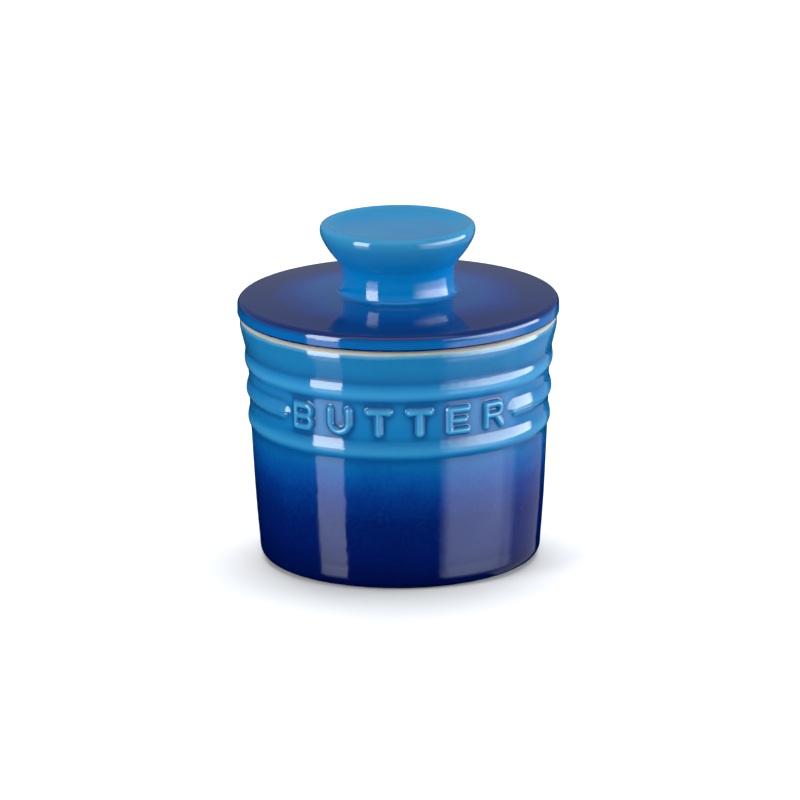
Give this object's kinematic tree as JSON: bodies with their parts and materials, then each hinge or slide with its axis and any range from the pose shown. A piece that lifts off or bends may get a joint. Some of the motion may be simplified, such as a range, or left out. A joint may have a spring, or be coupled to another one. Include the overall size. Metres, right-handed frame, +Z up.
{
  "type": "butter crock",
  "caption": "Round lidded stoneware crock: a pot that holds water, and a knobbed lid whose hanging bell cup keeps butter under a water seal.",
  "frame": {"origin": "centre of the foot ring, on the plane the pot stands on", "axes": "+Z up along the pot's axis; the raised word on the wall faces -Y"},
  "size_m": [0.105, 0.105, 0.1115],
  "materials": {
    "pot_glaze": "gloss blue glaze shading from bright blue at the rim to navy at the heel, cream inside, bare stoneware rim and foot ring",
    "lid_glaze": "gloss blue glaze, brighter towards the knob and at the edge, cream underneath",
    "knob_glaze": "gloss bright blue glaze",
    "bell_glaze": "gloss cream glaze"
  },
  "bodies": {
    "pot": {"crock_pot": "pot_glaze"},
    "lid": {"lid_plate": "lid_glaze", "lid_knob": "knob_glaze", "butter_bell": "bell_glaze"}
  },
  "joints": [
    {"name": "lid_lift", "type": "slide", "parent": "pot", "child": "lid", "axis": [0, 0, 1], "range_m": [0, 0.075]}
  ]
}
